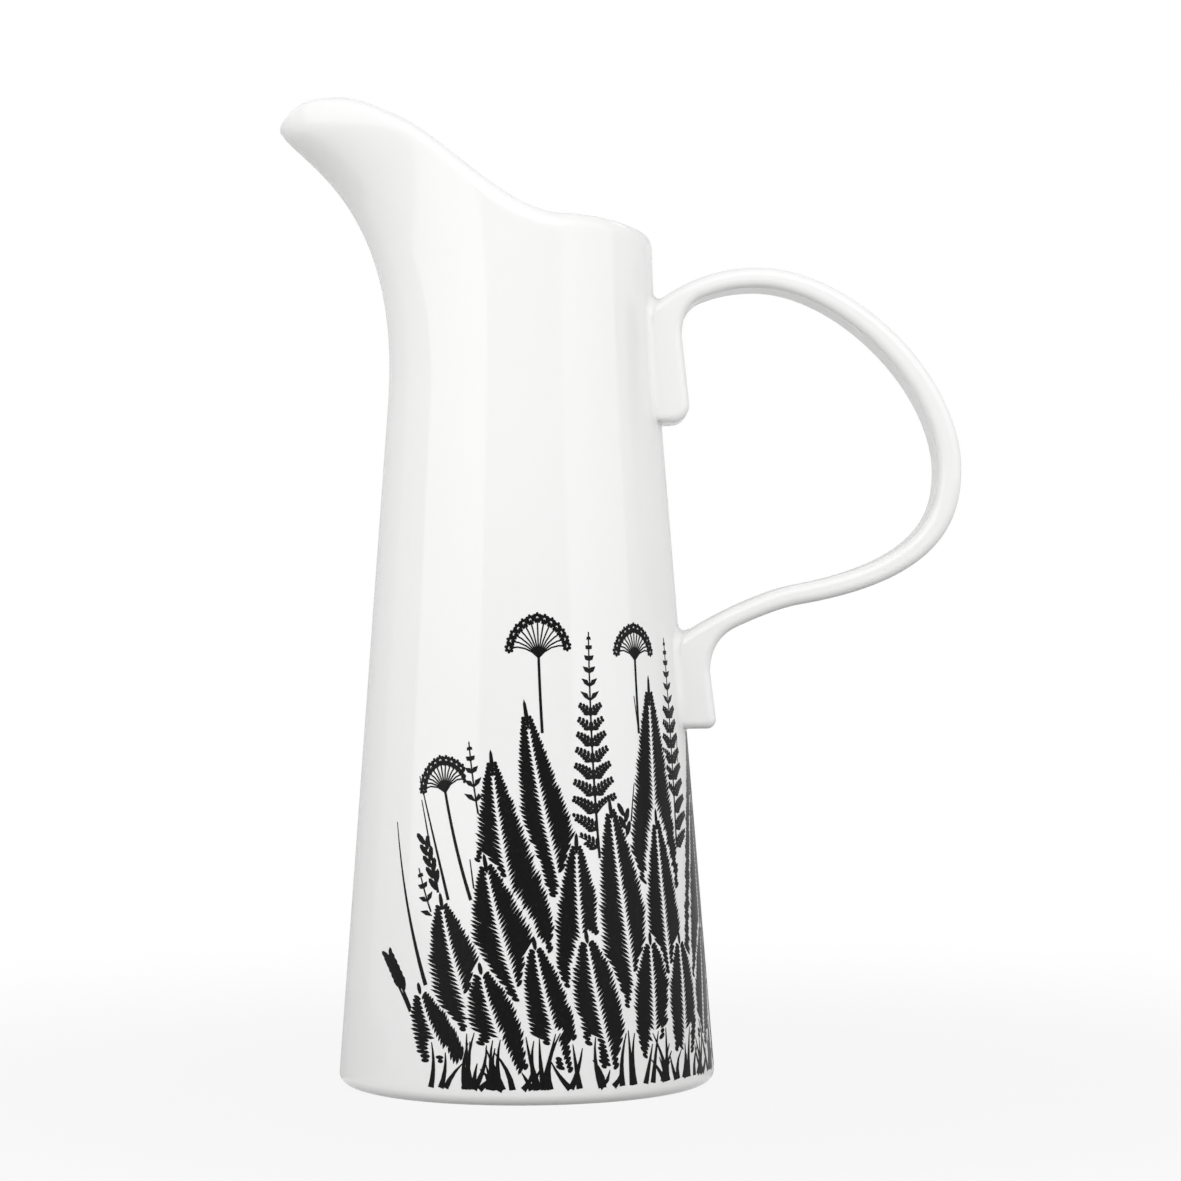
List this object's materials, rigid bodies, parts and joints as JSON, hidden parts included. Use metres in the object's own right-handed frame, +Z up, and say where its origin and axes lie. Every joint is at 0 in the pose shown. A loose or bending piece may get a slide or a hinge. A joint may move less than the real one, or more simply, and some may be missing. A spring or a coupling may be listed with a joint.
{
  "type": "spouted jug",
  "caption": "Tall tapered glazed jug with a drawn-out pouring spout, a sloping curved rim and a strap handle stuck to the wall by turned-down pads.",
  "frame": {"origin": "on the standing plane, under the middle of the overall length from spout tip to handle", "axes": "+Z up, +X from the spout towards the handle, +Y towards the back as the picture shows it"},
  "size_m": [0.194, 0.1074, 0.2796],
  "materials": {
    "glazed_china": "gloss",
    "fired_slip": "gloss"
  },
  "bodies": {
    "root": {"jug_body": "glazed_china", "handle": "glazed_china", "upper_slip_joint": "fired_slip", "lower_slip_joint": "fired_slip"}
  },
  "joints": []
}
